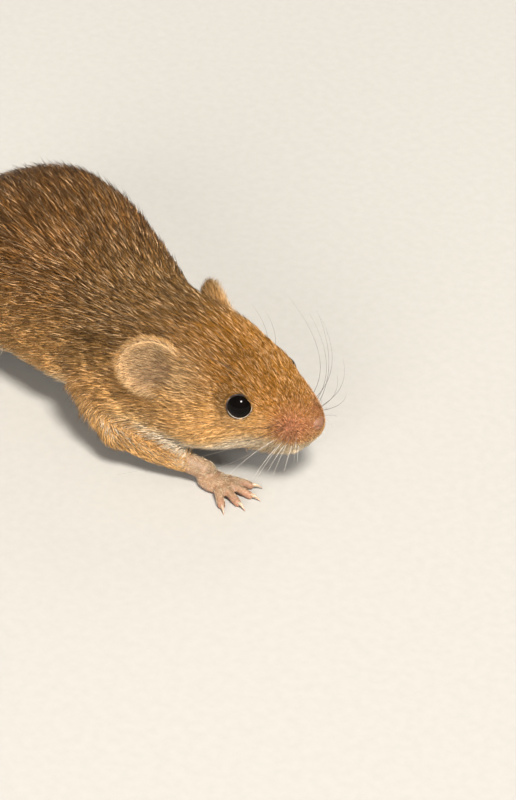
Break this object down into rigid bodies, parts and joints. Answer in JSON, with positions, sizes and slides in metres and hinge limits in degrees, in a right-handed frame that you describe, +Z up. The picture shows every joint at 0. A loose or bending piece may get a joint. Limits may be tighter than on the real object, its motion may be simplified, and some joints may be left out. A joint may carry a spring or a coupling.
{
  "type": "harvest mouse model",
  "caption": "Life-size harvest mouse standing on four feet, with its head turned a little to its left and its tail lying behind it.",
  "frame": {"origin": "on the floor, under the middle of the box round the whole model", "axes": "+X forward along the trunk towards the head, +Y to the mouse's left, +Z up"},
  "size_m": [0.101, 0.035, 0.0213],
  "materials": {
    "fur": "short dense coat, golden brown above and cream white below",
    "ear_skin": "thin brown skin with fine short hair",
    "foot_skin": "pinkish tan skin with fine short hair",
    "tail_skin": "finely ringed brown skin",
    "eye": "wet black"
  },
  "bodies": {
    "root": {"head": "fur", "neck": "fur", "torso": "fur", "foreleg_left": "fur", "foreleg_right": "fur", "hindleg_left": "fur", "hindleg_right": "fur", "ear_left": "ear_skin", "ear_right": "ear_skin", "eye_left": "eye", "eye_right": "eye", "forepaw_left": "foot_skin", "forepaw_right": "foot_skin", "hindfoot_left": "foot_skin", "hindfoot_right": "foot_skin", "tail_1": "tail_skin", "tail_2": "tail_skin", "tail_3": "tail_skin", "tail_4": "tail_skin"}
  },
  "joints": []
}
